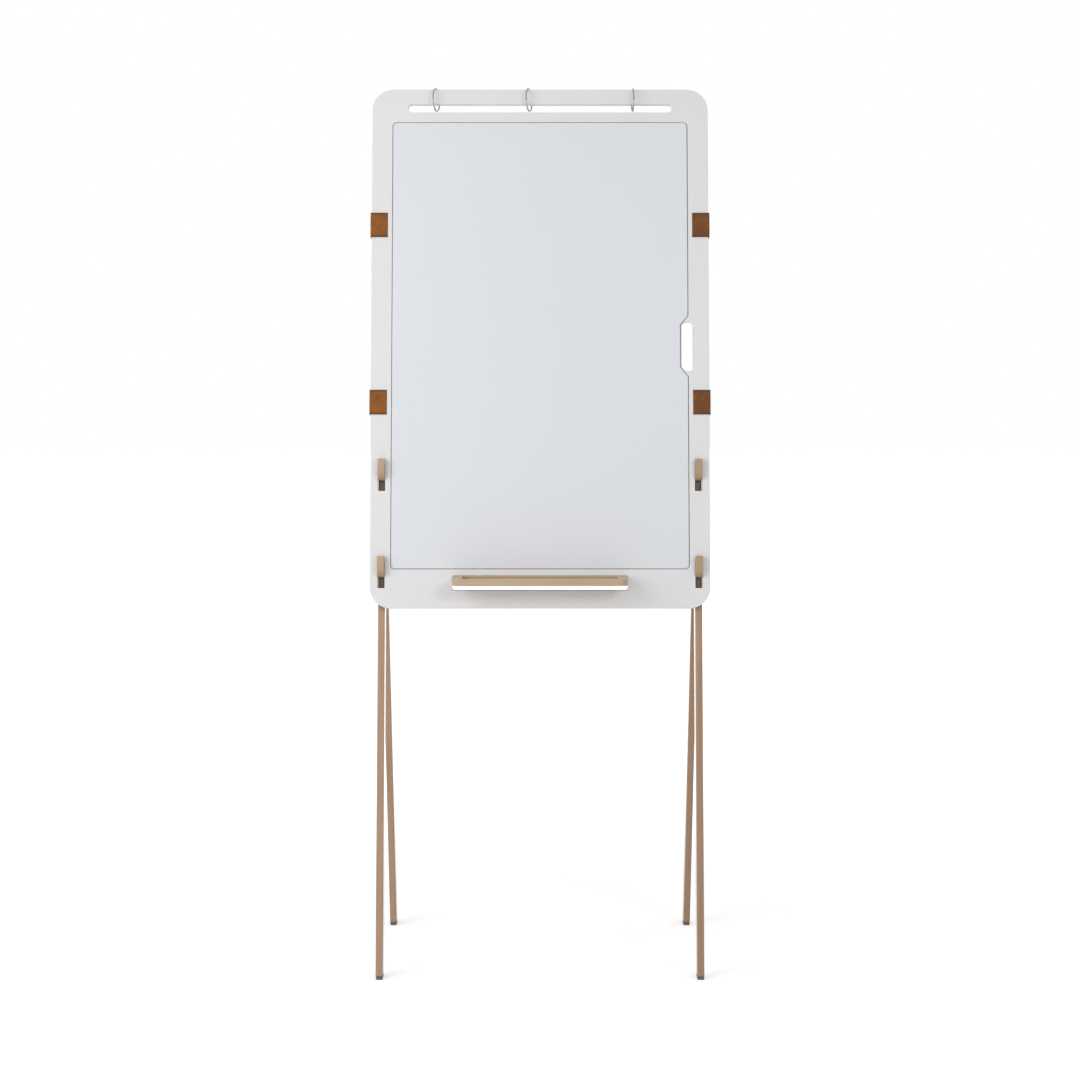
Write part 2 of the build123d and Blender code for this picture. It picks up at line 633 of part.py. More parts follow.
def stud_cap(middle):
    """Domed cap with the post that goes through both layers of leather."""
    low = (Align.CENTER, Align.CENTER, Align.MIN)
    cap = Cylinder(STUD_CAP_D / 2, STUD_CAP_T, align=low)
    cap = fillet(cap.edges().sort_by(Axis.Z)[-1], STUD_CAP_DOME)
    cap = stud_axis() * Pos(0, 0, 2 * STRAP_T) * cap + stud_post()
    return FRONT * Pos(0, 0, PANEL_FOOT + middle) * cap


def stud_socket(middle):
    high = (Align.CENTER, Align.CENTER, Align.MAX)
    socket = Cylinder(STUD_SOCKET_D / 2, STUD_SOCKET_T, align=high)
    socket = fillet(socket.edges().sort_by(Axis.Z)[0], STUD_SOCKET_T / 2)
    return FRONT * Pos(0, 0, PANEL_FOOT + middle) * stud_axis() * socket


# ---------------------------------------------------------------- rings
def ring_place(x, twist):
    """Centre of a ring hanging on the bar above the top slot, turned by its twist."""
    corner = PANEL_T / 2 - PANEL_EDGE
    across = corner / cos(radians(twist))
    drop = PANEL_EDGE + sqrt((RING_INNER - PANEL_EDGE) ** 2 - across ** 2)
    middle_y = (PANEL_FRONT + PANEL_BACK) / 2
    return FRONT * Pos(x, middle_y, PANEL_TOP - drop) * Rot(0, 0, twist)


def half_ring():
    """Lower half in the ring's own axes: axis x, hinge at +y, clasp at -y."""
    wire = revolve(Pos(0, RING_R) * Circle(RING_WIRE / 2), Axis.X, -180)
    hinge = Pos(0, RING_R, 0)
    clear = RING_EYE_D + 2 * RING_EYE_CLEAR
    other_eye = hinge * Pos(clear / 2 - RING_EYE_GAP, 0, 0) * cylinder_x(clear, clear)
    rivet_head = hinge * Pos(-RING_EYE_GAP - RING_EYE_T - clear / 2, 0, 0) * cylinder_x(clear, clear)
    eye = hinge * Pos(-RING_EYE_GAP - RING_EYE_T / 2, 0, 0) * cylinder_x(RING_EYE_D, RING_EYE_T)
    rivet_hole = hinge * cylinder_x(RING_RIVET_D + 2 * RING_RIVET_FIT, 2 * RING_EYE_D)
    return wire - other_eye - rivet_head + eye - rivet_hole


def ring_upper():
    tongue = Pos(0, -RING_R, -RING_TONGUE_L / 2) * Cylinder(RING_TONGUE_D / 2, RING_TONGUE_L)
    return Rot(0, 180, 0) * half_ring() + tongue


def ring_lower():
    low = (Align.CENTER, Align.CENTER, Align.MAX)
    clasp = Pos(0, -RING_R, 0)
    collar = clasp * Pos(0, 0, -RING_JOIN) * Cylinder(RING_COLLAR_D / 2, RING_COLLAR_L, align=low)
    rims = collar.edges().group_by(Axis.Z)
    collar = fillet(rims[0] + rims[-1], RING_COLLAR_EDGE)
    top = clasp * Pos(0, 0, -RING_JOIN) * Cylinder(RING_WIRE, RING_WIRE, align=(
        Align.CENTER, Align.CENTER, Align.MIN))
    socket = clasp * Cylinder(RING_TONGUE_D / 2 + RING_TONGUE_FIT, 2 * (RING_TONGUE_L + RING_TONGUE_FIT))
    return half_ring() - top + collar - socket


def ring_rivet():
    length = 2 * (RING_EYE_GAP + RING_EYE_T)
    head = Pos(length / 2 + RING_RIVET_HEAD_T / 2, 0, 0) * cylinder_x(RING_RIVET_HEAD_D, RING_RIVET_HEAD_T)
    head = fillet(head.edges().sort_by(Axis.X)[-1], RING_RIVET_HEAD_T / 2)
    shaft = cylinder_x(RING_RIVET_D, length)
    return Pos(0, RING_R, 0) * (shaft + head + mirror(head, about=Plane.YZ))


# ---------------------------------------------------------------- all nodes
nodes = {}


def add_pair(name, shape):
    """A right-hand piece and its mirror image, as two nodes."""
    nodes[name + "_right"], nodes[name + "_left"] = both(shape)


front_glide, front_glide_screw = glide_and_screw(FRONT)
rear_glide, rear_glide_screw = glide_and_screw(REAR)

add_pair("front_leg", front_leg())
add_pair("front_glide", front_glide)
add_pair("rear_leg", rear_leg())
add_pair("rear_glide", rear_glide)
nodes["front_glide_screws"] = group(both(front_glide_screw))
nodes["rear_glide_screws"] = group(both(rear_glide_screw))

nodes["front_top_rail"] = front_top_rail()
nodes["front_hinge_rail"] = front_hinge_rail()
nodes["tray_rail"] = tray_rail()
nodes["rear_head_rail"] = rear_head_rail()
nodes["rear_lower_rail"] = rear_lower_rail()
nodes["front_rail_dowels"] = group([p for d in dowels(FRONT_DOWELS) for p in both(FRONT * d)])
nodes["rear_rail_dowels"] = group([p for d in dowels(REAR_DOWELS) for p in both(REAR * d)])

hinge_places = {"left": FRONT * Pos(-HINGE_X, 0, 0), "right": FRONT * Pos(HINGE_X, 0, 0)}
for side, place in hinge_places.items():
    nodes["hinge_leaf_front_" + side] = place * hinge_leaf(
        FRONT_LEAF_BACK, front_leaf_screws(SCREW_FIT), 0)
    nodes["hinge_leaf_rear_" + side] = place * hinge_leaf(
        REAR_LEAF_BACK, rear_leaf_screws(SCREW_FIT), 1)
nodes["hinge_pins"] = group([place * hinge_pin() for place in hinge_places.values()])
nodes["hinge_screws_front"] = group(
    [place * s for place in hinge_places.values() for s in front_leaf_screws()])
nodes["hinge_screws_rear"] = group(
    [place * s for place in hinge_places.values() for s in rear_leaf_screws()])

for level, foot in zip(("lower", "upper"), HOOK_FEET):
    add_pair("hook_" + level, hook(foot))
nodes["hook_dowels"] = group([p for d in hook_dowels() for p in both(FRONT * d)])

nodes["pen_tray"] = pen_tray()
nodes["tray_screws"] = group(tray_screws())

nodes["panel_board"] = panel_board()
nodes["whiteboard_sheet"] = whiteboard_sheet()
nodes["whiteboard_backing"] = whiteboard_backing()
for level, middle in zip(("lower", "upper"), STRAP_MIDDLES):
    add_pair("strap_" + level, strap(middle))
nodes["stud_caps"] = group([p for m in STRAP_MIDDLES for p in both(stud_cap(m))])
nodes["stud_sockets"] = group([p for m in STRAP_MIDDLES for p in both(stud_socket(m))])

for place_name, (x, twist) in zip(("left", "middle", "right"), RINGS):
    place = ring_place(x, twist)
    nodes["ring_lower_" + place_name] = place * ring_lower()
    nodes["ring_upper_" + place_name] = place * ring_upper()
    nodes["ring_rivet_" + place_name] = place * ring_rivet()

for name, shape in nodes.items():
    export_step(shape, f"parts/{name}.step")
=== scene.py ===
"""Dresses a folding whiteboard easel: wood, lacquer, enamel, steel and rubber finishes for its
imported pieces, leather straps and cross-recessed screws in place of the plain ones, and a plain
studio round it. Everything is in metres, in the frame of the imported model."""

import json
import math

import bpy
import numpy as np
from bpy.props import FloatProperty, FloatVectorProperty, PointerProperty
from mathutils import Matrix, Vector


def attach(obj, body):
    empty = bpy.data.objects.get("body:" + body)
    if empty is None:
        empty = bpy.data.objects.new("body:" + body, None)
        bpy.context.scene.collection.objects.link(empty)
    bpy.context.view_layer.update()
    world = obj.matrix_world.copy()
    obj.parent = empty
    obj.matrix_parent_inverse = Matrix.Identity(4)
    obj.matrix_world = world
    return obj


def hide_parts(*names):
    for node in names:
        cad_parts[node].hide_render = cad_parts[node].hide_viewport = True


bl_info = {
    "name": "Whiteboard Easel",
    "version": (1, 0, 0),
    "blender": (4, 5, 0),
    "location": "3D View > Sidebar > Easel",
    "description": "Finishes, leather straps, screws and a studio for a folding whiteboard easel",
    "category": "Object",
}

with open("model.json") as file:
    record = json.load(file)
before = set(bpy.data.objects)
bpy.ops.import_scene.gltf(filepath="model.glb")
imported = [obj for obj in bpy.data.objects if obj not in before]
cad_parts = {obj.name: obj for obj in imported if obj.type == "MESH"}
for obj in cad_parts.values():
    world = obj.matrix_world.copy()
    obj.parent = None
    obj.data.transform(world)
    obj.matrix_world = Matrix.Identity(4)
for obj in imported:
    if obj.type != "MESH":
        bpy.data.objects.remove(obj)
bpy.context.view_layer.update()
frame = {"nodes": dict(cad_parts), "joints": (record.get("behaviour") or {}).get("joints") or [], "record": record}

BODY_OF = {node: body for body, nodes in frame["record"]["behaviour"]["bodies"].items() for node in nodes}
SIDES = ("left", "right")
LEVELS = ("lower", "upper")
PLACES = ("left", "middle", "right")

# The front frame's own axes: across, back through the panel, and up along the legs.
ACROSS = np.array([1.0, 0.0, 0.0])
ALONG = np.array(next(joint["axis"] for joint in frame["joints"] if joint["name"] == "panel_lift"))
BACKWARDS = np.array([0.0, ALONG[2], -ALONG[1]])
LEANING = np.stack([ACROSS, BACKWARDS, ALONG])
LEAN = math.atan2(ALONG[1], ALONG[2])


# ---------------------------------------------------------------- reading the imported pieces
def points_of(node):
    """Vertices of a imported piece, one row each."""
    mesh = frame["nodes"][node].data
    flat = np.empty(3 * len(mesh.vertices), np.float32)
    mesh.vertices.foreach_get("co", flat)
    return flat.reshape(-1, 3).astype(float)


def leaning_box(node):
    """Lowest and highest corner of a piece in the front frame's own axes."""
    local = points_of(node) @ LEANING.T
    return local.min(0), local.max(0)


def run_of(node):
    """Direction in which a long piece runs: its widest spread, pointing up."""
    points = points_of(node)
    spread = np.linalg.svd(points - points.mean(0), full_matrices=False)[2][0]
    return spread * (1 if spread[2] >= 0 else -1)


# ---------------------------------------------------------------- meshes
def ring_faces(rows, columns, first=0):
    """Quads between rings of a grid whose columns close on themselves, as an array of indices."""
    row, column = np.meshgrid(np.arange(rows - 1), np.arange(columns), indexing="ij")
    here = first + row * columns + column
    beside = first + row * columns + (column + 1) % columns
    return np.stack([here, beside, beside + columns, here + columns], axis=-1).reshape(-1, 4)


def new_piece(name, vertices, faces, material, sharp_angle):
    """Object at the origin with its place in its mesh, smooth but for its sharp edges."""
    mesh = bpy.data.meshes.new(name)
    mesh.from_pydata(vertices.tolist(), [], faces)
    mesh.validate()
    mesh.polygons.foreach_set("use_smooth", np.ones(len(mesh.polygons), bool))
    mesh.set_sharp_from_angle(angle=sharp_angle)
    mesh.materials.append(material)
    piece = bpy.data.objects.new(name, mesh)
    bpy.context.scene.collection.objects.link(piece)
    return piece


def set_attribute(piece, name, values):
    """One number for each vertex, for the piece's material to read."""
    layer = piece.data.attributes.new(name, "FLOAT", "POINT")
    layer.data.foreach_set("value", np.ascontiguousarray(values, dtype=np.float32))


def give(material, *nodes):
    """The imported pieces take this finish."""
    for node in nodes:
        mesh = frame["nodes"][node].data
        mesh.materials.clear()
        mesh.materials.append(material)


# ---------------------------------------------------------------- shader building
NOISE_RANGE = (0.3, 0.7)        # where nearly all of a noise lies
OPEN_RANGE = (0.35, 0.8)        # open air that counts as a narrow place, and as none
NARROW_SHADE_PEAK = 0.85             # how fully the painted shade fills the narrowest places
EDGE_RANGE = (0.04, 0.3)        # how far an edge turns before its line starts, and is full
WAVE_RATE = 20.0                # a wave's argument is this times its scale and the distance
MIX_FIRST, MIX_SECOND, MIX_RESULT = 6, 7, 2     # a colour mix's sockets


def add_node(tree, kind, inputs=None, **settings):
    """New node; inputs are sockets to link from, or plain values."""
    made = tree.nodes.new(kind)
    for key, value in settings.items():
        setattr(made, key, value)
    for key, value in (inputs or {}).items():
        if isinstance(value, bpy.types.NodeSocket):
            tree.links.new(value, made.inputs[key])
        else:
            made.inputs[key].default_value = value
    return made


def tinted(colour, share):
    """The colour with each channel times the share."""
    return tuple(share * channel for channel in colour)


class Finish:
    """A material with one Principled surface, put together node by node."""

    def __init__(self, name, **surface):
        self.material = bpy.data.materials.new(name)
        self.material.use_nodes = True
        self.tree = self.material.node_tree
        self.tree.nodes.clear()
        self.surface = self.add("ShaderNodeBsdfPrincipled",
                                {socket.replace("_", " "): value for socket, value in surface.items()})
        self.add("ShaderNodeOutputMaterial", {"Surface": self.surface.outputs[0]})
        self.place = self.add("ShaderNodeTexCoord").outputs["Object"]

    def add(self, kind, inputs=None, **settings):
        return add_node(self.tree, kind, inputs, **settings)

    def turned(self, source, rotation=(0, 0, 0), scale=(1, 1, 1), location=(0, 0, 0)):
        made = self.add("ShaderNodeMapping", {"Vector": source, "Rotation": rotation, "Scale": scale,
                                              "Location": location})
        return made.outputs[0]

    def noise(self, source, scale, detail=3.0, roughness=0.5, distortion=0.0):
        made = self.add("ShaderNodeTexNoise", {"Vector": source, "Scale": scale, "Detail": detail,
                                               "Roughness": roughness, "Distortion": distortion})
        return made.outputs["Fac"]

    def stretched(self, source, scale, detail):
        """Noise with its own scale along each axis."""
        return self.noise(self.turned(source, scale=scale), 1.0, detail=detail)

    def cells(self, source, scale):
        made = self.add("ShaderNodeTexVoronoi", {"Vector": source, "Scale": scale})
        return made.outputs["Distance"]

    def span(self, source, low, high, to_low=0.0, to_high=1.0):
        """source between low and high, stretched to another range and held there."""
        made = self.add("ShaderNodeMapRange", {"Value": source, "From Min": low, "From Max": high,
                                               "To Min": to_low, "To Max": to_high})
        return made.outputs[0]

    def spread(self, noise, to_low=0.0, to_high=1.0):
        """A noise, stretched to another range."""
        return self.span(noise, *NOISE_RANGE, to_low, to_high)

    def sum(self, first, second):
        return self.add("ShaderNodeMath", {0: first, 1: second}, operation="ADD").outputs[0]

    def dot(self, first, second):
        made = self.add("ShaderNodeVectorMath", {0: first, 1: second}, operation="DOT_PRODUCT")
        return made.outputs["Value"]

    def blend(self, factor, first, second):
        """Colour between first and second."""
        first, second = (colour if isinstance(colour, bpy.types.NodeSocket) else (*colour, 1.0)
                         for colour in (first, second))
        made = self.add("ShaderNodeMix", {"Factor": factor, MIX_FIRST: first, MIX_SECOND: second},
                        data_type="RGBA")
        return made.outputs[MIX_RESULT]

    def narrow_shade(self, reach):
        """Painted shade: near 1 deep inside a narrow opening, 0 where nothing stands within the reach."""
        open_air = self.add("ShaderNodeAmbientOcclusion", {"Distance": reach}, samples=8).outputs["AO"]
        return self.span(open_air, *OPEN_RANGE, NARROW_SHADE_PEAK, 0.0)

    def turned_edge(self, radius, towards):
        """1 where the surface, its edges rounded by the radius, turns towards a direction, else 0."""
        rounded = self.add("ShaderNodeBevel", {"Radius": radius}, samples=2).outputs[0]
        return self.span(self.dot(rounded, towards), *EDGE_RANGE)

    def attribute(self, name):
        return self.add("ShaderNodeAttribute", attribute_name=name).outputs["Fac"]

    def use(self, colour, roughness, relief, depth):
        """Links colour, roughness and relief; depth is how far the relief rises, in metres."""
        bump = self.add("ShaderNodeBump", {"Height": relief, "Distance": depth, "Strength": 1.0})
        for socket, value in (("Base Color", colour), ("Roughness", roughness), ("Normal", bump.outputs[0])):
            self.tree.links.new(value, self.surface.inputs[socket])
        return self.material


# ---------------------------------------------------------------- finishes
def wood(name, tones, turn, offset, depth=0.0, foot_shade=None):
    """Oiled beech whose grain runs along local Z after the turn: growth lines round a pith line
    outside the piece, fine fibres, the short dark flecks of beech, and painted shade in narrow places.
    The depth makes all of it darker, which paints shade on the right-hand legs and hooks. The last
    argument is a foot, a head and an amount: from the head's height along the legs down to the
    foot's, the wood darkens by the amount, painted shade for light that falls from above."""
    made = Finish(name, Specular_IOR_Level=0.3, Coat_Weight=tones.coat, Coat_Roughness=0.14)
    along = made.turned(made.place, rotation=turn, location=offset)
    slow = made.stretched(along, (9.0, 9.0, 1.3), 2.0)
    # the pith line wanders along the piece by this much, in metres
    shift = made.add("ShaderNodeCombineXYZ", {"X": made.spread(slow, 0.0, 0.008),
                                              "Y": made.spread(slow, 0.006, 0.0)})
    wander = made.add("ShaderNodeVectorMath", {0: along, 1: shift.outputs[0]}, operation="ADD")
    lines = made.add("ShaderNodeTexWave", {
        "Vector": wander.outputs[0], "Scale": 2 * math.pi / (WAVE_RATE * tones.line_pitch),
        "Distortion": 1.6, "Detail": 2.0, "Detail Scale": 0.4}, wave_type="RINGS",
        rings_direction="Z").outputs["Fac"]
    fibres = made.stretched(along, (2600.0, 2600.0, 34.0), 3.0)
    streaks = made.stretched(along, (190.0, 190.0, 5.0), 3.0)
    flecks = made.stretched(along, (2300.0, 1100.0, 330.0), 1.0)
    tone = made.sum(made.span(lines, 0.0, 1.0, 0.0, 0.42), made.spread(streaks, 0.0, 0.5))
    # depth darkens the whole piece; on the right-hand legs and hooks it is painted shade
    tone = made.sum(tone, made.span(fibres, 0.35, 0.65, depth - 0.06, depth + 0.12))
    # painted shade: darker towards the hook's foot, as if the light fell from above
    if foot_shade:
        foot, head, shade_amount = foot_shade
        height = made.dot(made.place, tuple(ALONG))
        tone = made.sum(tone, made.span(height, foot, head, shade_amount, 0.0))
    colour = made.blend(tone, tones.light, tones.dark)
    colour = made.blend(made.span(flecks, 0.62, 0.7, 0.0, 0.35), colour, tinted(tones.dark, 0.55))
    # painted shade wherever the wood stands in a narrow place
    colour = made.blend(made.narrow_shade(0.016), colour, tinted(tones.dark, 0.16))
    roughness = made.spread(fibres, tones.gloss + 0.1, tones.gloss - 0.06)
    relief = made.sum(fibres, made.span(flecks, 0.6, 0.7, 0.0, -0.8))
    return made.use(colour, roughness, relief, 0.00006)


def lacquer(tones):
    """Sprayed satin lacquer: a fine orange peel and a trace of cloudiness."""
    made = Finish("Panel lacquer", Specular_IOR_Level=0.5)
    cloud = made.noise(made.place, 7.0, detail=4.0)
    colour = made.blend(made.spread(cloud), tones.lacquer, tinted(tones.lacquer, 0.975))
    peel = made.noise(made.place, 620.0, detail=2.0)
    dust = made.noise(made.place, 2400.0, detail=1.0)
    relief = made.sum(peel, made.span(dust, 0.66, 0.78, 0.0, 0.9))
    return made.use(colour, made.spread(cloud, 0.33, 0.41), relief, 0.000022)


def enamel(tones):
    """Fired white enamel: nearly smooth, with faint dull swathes where an eraser has wiped it, and
    a line of painted shade along its edges on the right and below."""
    made = Finish("Board enamel", Specular_IOR_Level=0.5)
    slanting = made.turned(made.place, rotation=(0, math.radians(58), 0), scale=(9.0, 2.5, 2.5))
    swathes = made.noise(slanting, 1.0, detail=1.0)
    haze = made.noise(made.place, 2.6, detail=3.0)
    colour = made.blend(made.spread(haze), tones.enamel, tinted(tones.enamel, 0.988))
    # painted shade along the sheet's right and lower edges
    shaded_side = tuple((ACROSS - ALONG) / math.sqrt(2))
    colour = made.blend(made.turned_edge(tones.edge_shade, shaded_side), colour, tinted(tones.enamel, 0.12))
    ripple = made.noise(made.place, 34.0, detail=1.0)
    return made.use(colour, made.spread(swathes, 0.29, 0.31), ripple, 0.00001)


def hardboard(tones):
    """Pressed fibres: short hairs in all directions over a mottled brown."""
    made = Finish("Hardboard", Specular_IOR_Level=0.3)
    hairs = made.noise(made.turned(made.place, scale=(1.0, 1.0, 4.0)), 900.0, detail=4.0, distortion=1.5)
    mottle = made.noise(made.place, 60.0)
    colour = made.blend(made.sum(hairs, made.spread(mottle, -0.3, 0.3)), tones.hardboard,
                        tinted(tones.hardboard, 1.5))
    return made.use(colour, made.spread(hairs, 0.7, 0.85), hairs, 0.00008)


def leather(tones):
    """Smooth tanned leather: pores and pull-up mottling, dark at the cut edges, partly burnished and
    partly painted shade, paler and rougher on the flesh side, and darker or paler by the depth
    attribute, which is painted shade."""
    made = Finish("Strap leather", Specular_IOR_Level=0.25)
    mottle = made.noise(made.place, 85.0, detail=4.0, roughness=0.6)
    cloud = made.noise(made.place, 22.0, detail=2.0)
    pores = made.cells(made.place, 1500.0)
    grain = made.noise(made.place, 900.0, detail=3.0)
    flesh = made.attribute("flesh")
    tone = made.sum(made.spread(mottle, 0.0, 0.6), made.spread(cloud, 0.0, 0.4))
    # the depth attribute is painted shade: darker straps on the right, paler on the left
    colour = made.blend(made.sum(tone, made.attribute("depth")), tones.light, tones.dark)
    colour = made.blend(made.span(pores, 0.05, 0.3, 0.35, 0.0), colour, tones.edge)
    # dark edges: burnished cut edges, widened by painted shade along them
    colour = made.blend(made.attribute("edge"), colour, tones.edge)
    colour = made.blend(made.span(flesh, 0.0, 1.0, 0.0, 0.6), colour, tones.flesh)
    roughness = made.sum(made.spread(mottle, 0.42, 0.55), made.span(flesh, 0.0, 1.0, 0.0, 0.3))
    relief = made.sum(made.span(pores, 0.0, 0.4), made.span(grain, 0.2, 0.8, 0.0, 0.7))
    return made.use(colour, roughness, relief, 0.00012)


def steel(name, colour, roughness, brushed):
    """Bare metal: fine scratches whose scale along each axis is given, and an uneven sheen."""
    made = Finish(name, Metallic=1.0)
    strokes = made.stretched(made.place, brushed, 4.0)
    stain = made.noise(made.place, 140.0, detail=3.0)
    shade = made.blend(made.spread(strokes), colour, tinted(colour, 0.84))
    shade = made.blend(made.span(stain, 0.45, 0.75, 0.0, 0.5), shade, tinted(colour, 0.8))
    return made.use(shade, made.spread(strokes, roughness - 0.06, roughness + 0.1), strokes, 0.00001)


def rubber(tones):
    """Moulded rubber with a stipple and floor dust."""
    made = Finish("Glide rubber", Specular_IOR_Level=0.35)
    stipple = made.noise(made.place, 1300.0, detail=2.0)
    dust = made.noise(made.place, 160.0, detail=5.0)
    colour = made.blend(made.span(dust, 0.45, 0.8, 0.0, 0.5), tones.glide, tinted(tones.glide, 1.8))
    return made.use(colour, made.spread(stipple, 0.6, 0.8), stipple, 0.00008)


# ---------------------------------------------------------------- straps
ARC_STEPS = 6                   # points along each fold of a strap
ROUTE_SPACING = 0.003           # between points along its straight runs
RIM_STEPS, CREASE_STEPS, FIELD_STEPS = 7, 9, 9
CREASE_SHARE = 0.35             # width of the creased line, as a share of the thickness
END_SHARE = 0.3                 # thickness at a strap's very end, as a share of the whole
LEATHER_CREASE_ANGLE = math.radians(60)


def unit(vectors):
    """Each row at length 1."""
    return vectors / np.linalg.norm(vectors, axis=-1, keepdims=True)


def rounded_route(corners, radius, arc_steps, spacing):
    """Open route through the corners, each inner corner turned by an arc. An arc starts
    radius x tan(half the turn) before its corner; its points are its centre less the radius
    times the left normal of headings that swing evenly from one run to the next. Straight runs
    are then divided by the spacing. Returns points, right-hand normals and lengths so far."""
    points, headings = [corners[0]], []
    for before, corner, after in zip(corners, corners[1:], corners[2:]):
        start, end = corner - before, after - corner
        first = math.atan2(start[1], start[0])
        turn = (math.atan2(end[1], end[0]) - first + math.pi) % (2 * math.pi) - math.pi
        side = math.copysign(1.0, turn)
        setback = radius * math.tan(abs(turn) / 2)
        entry = corner - setback * np.array([math.cos(first), math.sin(first)])
        centre = entry + side * radius * np.array([-math.sin(first), math.cos(first)])
        swing = first + turn * np.linspace(0, 1, arc_steps)
        points += list(centre - side * radius * np.stack([-np.sin(swing), np.cos(swing)], axis=1))
        headings += [first] if not headings else []
        headings += list(swing)
    last = corners[-1] - corners[-2]
    points.append(corners[-1])
    headings.append(math.atan2(last[1], last[0]))
    points, headings = np.array(points), np.array(headings)
    lengths = np.concatenate([[0.0], np.cumsum(np.linalg.norm(np.diff(points, axis=0), axis=1))])
    stations = np.union1d(lengths, np.arange(0.0, lengths[-1], spacing))
    across = np.interp(stations, lengths, points[:, 0])
    through = np.interp(stations, lengths, points[:, 1])
    normals = np.stack([np.sin(headings), -np.cos(headings)], axis=1)
    normals = np.stack([np.interp(stations, lengths, normals[:, i]) for i in (0, 1)], axis=1)
    return np.stack([across, through], axis=1), unit(normals), stations


def strap_section(width, thickness, crease_inset, crease_depth):
    """Closed cross-section of a strap. Distance in from the long edge is e; the faces lie at plus
    and minus half the thickness times sqrt(1 - (1 - e / half)^2), a half-round edge, and the grain
    side dips by depth x exp(-((e - inset) / width)^2) at its crease. Returns place across, height,
    distance from the edge and 1 on the flesh side."""
    half = thickness / 2
    crease_width = CREASE_SHARE * thickness
    rim = half * (1 - np.cos(np.linspace(0, np.pi / 2, RIM_STEPS)))
    groove = crease_inset + crease_width * np.linspace(-2, 2, CREASE_STEPS)
    field = np.linspace(groove[-1], width / 2, FIELD_STEPS)[1:]
    inwards = np.concatenate([rim, groove, field])
    across = np.concatenate([inwards - width / 2, (width / 2 - inwards)[::-1][1:]])
    from_edge = width / 2 - np.abs(across)
    height = half * np.sqrt(1 - (1 - np.clip(from_edge / half, 0, 1)) ** 2)
    crease = crease_depth * np.exp(-((from_edge - crease_inset) / crease_width) ** 2)
    under = slice(-2, 0, -1)
    return (np.concatenate([across, across[under]]), np.concatenate([height - crease, -height[under]]),
            np.concatenate([from_edge, from_edge[under]]),
            np.concatenate([np.zeros(len(across)), np.ones(len(across) - 2)]))


def pushed_out(corners, distance):
    """Closed outline moved outwards: each corner moves by distance x (n + m) / (1 + n . m), n and m
    being the outward normals of the two sides that meet there. Corners run counter-clockwise."""
    sides = unit(np.roll(corners, -1, axis=0) - corners)
    after = np.stack([sides[:, 1], -sides[:, 0]], axis=1)
    before = np.roll(after, 1, axis=0)
    return corners + distance * (before + after) / (1 + (before * after).sum(1, keepdims=True))


def strap_route(level, settings):
    """Middle line of a right-hand strap, seen along the legs: from under its tail on the slope behind
    the panel's edge, round the leg, through the slit, over the panel's face and edge, and back down
    the slope, one thickness further out, as the tail that covers its own start."""
    thickness = settings.thickness
    low, high = leaning_box(f"strap_{level}_right")
    leg_low, leg_high = leaning_box("front_leg_right")
    _, panel_high = leaning_box("panel_board")
    inner, front = low[:2] + thickness
    edge, back = high[:2] - thickness
    gap = leg_low[0] - inner
    shoulder = panel_high[1] + gap
    inside = np.array([(inner, front), (edge, front), (edge, shoulder), (leg_high[0] + gap, back),
                       (inner, back)])
    inner_front, edge_front, slope_top, slope_foot, inner_back = pushed_out(inside, thickness / 2)
    down = unit(slope_foot - slope_top)
    lap = thickness * np.array([down[1], -down[0]])
    corners = [slope_top + settings.start_at * down, slope_foot, inner_back, inner_front, edge_front, slope_top,
               slope_top + settings.lap_at * down + lap, slope_top + settings.tail_to * down + lap]
    return rounded_route(corners, settings.bend, ARC_STEPS, ROUTE_SPACING)


def make_strap(side, level, material, settings):
    """A strap: its section carried along its route. Near both ends the half width is
    W / 2 - R + sqrt(R^2 - (R - e)^2), a rounded corner, e being the distance from the end."""
    node = f"strap_{level}_{side}"
    low, high = leaning_box(f"strap_{level}_right")
    width, middle = high[2] - low[2], (high[2] + low[2]) / 2
    route, normals, stations = strap_route(level, settings)
    across, height, from_edge, flesh = strap_section(width, settings.thickness, settings.crease_inset,
                                                     settings.crease_depth)
    from_end = np.minimum(stations, stations[-1] - stations)
    corner = settings.end_corner
    reach = np.clip(corner - from_end, 0, corner)
    narrow = corner - np.sqrt(corner ** 2 - reach ** 2)
    span = 1 - narrow / (width / 2)
    nose = settings.thickness / 2
    thin = END_SHARE + (1 - END_SHARE) * np.sqrt(1 - (1 - np.clip(from_end / nose, 0, 1)) ** 2)
    rise = thin[:, None] * height[None, :]
    rows, columns = len(route), len(across)
    local = np.empty((rows, columns, 3))
    local[:, :, :2] = route[:, None, :] + normals[:, None, :] * rise[:, :, None]
    local[:, :, 2] = middle + span[:, None] * across[None, :]
    faces = ring_faces(rows, columns)
    caps = [np.arange(columns)[::-1], np.arange(columns) + (rows - 1) * columns]
    if side == "left":
        local[:, :, 0] *= -1.0
        faces, caps = faces[:, ::-1], [cap[::-1] for cap in caps]
    piece = new_piece(f"leather_{node}", (local @ LEANING).reshape(-1, 3),
                      faces.tolist() + [cap.tolist() for cap in caps], material, LEATHER_CREASE_ANGLE)
    to_edge = np.minimum(from_edge[None, :], from_end[:, None])
    # dark edge: burnished, and painted shade where the strap's edges sit in shade
    set_attribute(piece, "edge", np.exp(-(to_edge / settings.burnish_and_shade) ** 2).ravel())
    # painted shade: the right-hand straps darker, the left ones paler
    depth = settings.shade_left if side == "left" else settings.shade_right
    set_attribute(piece, "depth", np.full(rows * columns, depth))
    set_attribute(piece, "flesh", np.broadcast_to(flesh, (rows, columns)).ravel())
    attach(piece, BODY_OF[node])
    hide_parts(node)


